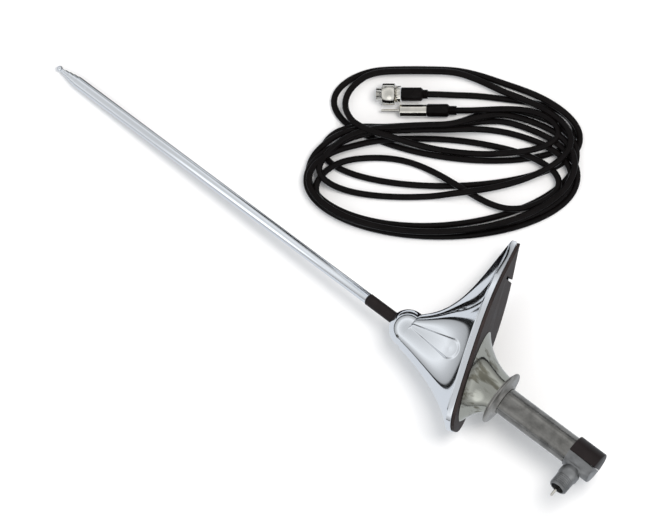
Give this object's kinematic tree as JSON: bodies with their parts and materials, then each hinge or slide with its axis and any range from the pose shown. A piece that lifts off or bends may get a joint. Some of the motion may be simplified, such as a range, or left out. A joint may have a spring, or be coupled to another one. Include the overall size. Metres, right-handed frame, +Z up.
{
  "type": "car antenna",
  "caption": "Telescopic wing antenna with a raked chrome cover, ball head, clamp claw, side connector and a coiled coaxial lead.",
  "frame": {"origin": "on the surface it lies on, under the middle of the antenna's box, the lead not counted", "axes": "+Z up; +X along the antenna towards the body tube's end, seen from above; +Y towards the cover's tail and the coiled lead"},
  "size_m": [0.447, 0.216, 0.056],
  "materials": {
    "chrome": "mirror-bright chrome plate",
    "claw_nickel": "bright nickel plate, slightly streaky",
    "bright_steel": "bright zinc-plated steel, slightly rough",
    "fastener_steel": "dull plated steel",
    "cast_metal": "dull grey die casting",
    "black_plastic": "black moulded plastic, satin",
    "white_plastic": "white insulating plastic",
    "brass": "plain brass",
    "plug_nickel": "warm nickel plate",
    "gasket_rubber": "black rubber, matt",
    "cable_jacket": "black PVC jacket, satin"
  },
  "bodies": {
    "base": {"base_cover": "chrome", "clamp_claw": "claw_nickel", "body_tube": "bright_steel", "ball_seat": "bright_steel", "contact_spring": "bright_steel", "lock_washer": "fastener_steel", "clamp_nut": "fastener_steel", "connector_stub": "cast_metal", "end_cap": "black_plastic", "stub_insulator": "white_plastic", "feed_bush_1": "white_plastic", "feed_bush_2": "white_plastic", "screw_plug_insulator": "white_plastic", "radio_plug_insulator": "white_plastic", "inner_conductor": "brass", "contact_plunger": "brass", "screw_plug_contact": "brass", "contact_pin": "plug_nickel", "screw_plug_body": "plug_nickel", "radio_plug_pin": "plug_nickel", "radio_plug_barrel": "plug_nickel", "rubber_gasket": "gasket_rubber", "lead_coil": "cable_jacket", "lead_tube_1": "cable_jacket", "lead_tube_2": "cable_jacket", "screw_plug_boot": "cable_jacket", "radio_plug_boot": "cable_jacket"},
    "head": {"swivel_ball": "chrome", "lock_screw": "bright_steel", "mast_sleeve": "black_plastic", "mast_tube_1": "chrome"},
    "section_2": {"mast_tube_2": "chrome"},
    "section_3": {"mast_tube_3": "chrome"},
    "section_4": {"mast_tube_4": "chrome"},
    "tip_section": {"mast_rod": "chrome", "tip_ball": "chrome"},
    "coupling": {"coupling_nut": "plug_nickel"}
  },
  "joints": [
    {"name": "head_tilt", "type": "hinge", "parent": "base", "child": "head", "pos_m": [0.06946, -0.02486, 0.02485], "axis": [0.0761, 0, -0.9971], "range_deg": [-25, 25]},
    {"name": "section_2_slide", "type": "slide", "parent": "head", "child": "section_2", "axis": [-0.9971, 0, -0.0761], "range_m": [0, 0.218]},
    {"name": "section_3_slide", "type": "slide", "parent": "section_2", "child": "section_3", "axis": [-0.9971, 0, -0.0761], "range_m": [0, 0.221]},
    {"name": "section_4_slide", "type": "slide", "parent": "section_3", "child": "section_4", "axis": [-0.9971, 0, -0.0761], "range_m": [0, 0.223]},
    {"name": "rod_slide", "type": "slide", "parent": "section_4", "child": "tip_section", "axis": [-0.9971, 0, -0.0761], "range_m": [0, 0.225]},
    {"name": "coupling_turn", "type": "hinge", "parent": "base", "child": "coupling", "pos_m": [-0.04178, 0.08536, 0.0071], "axis": [0.807, 0.5906, 0], "continuous": true}
  ]
}
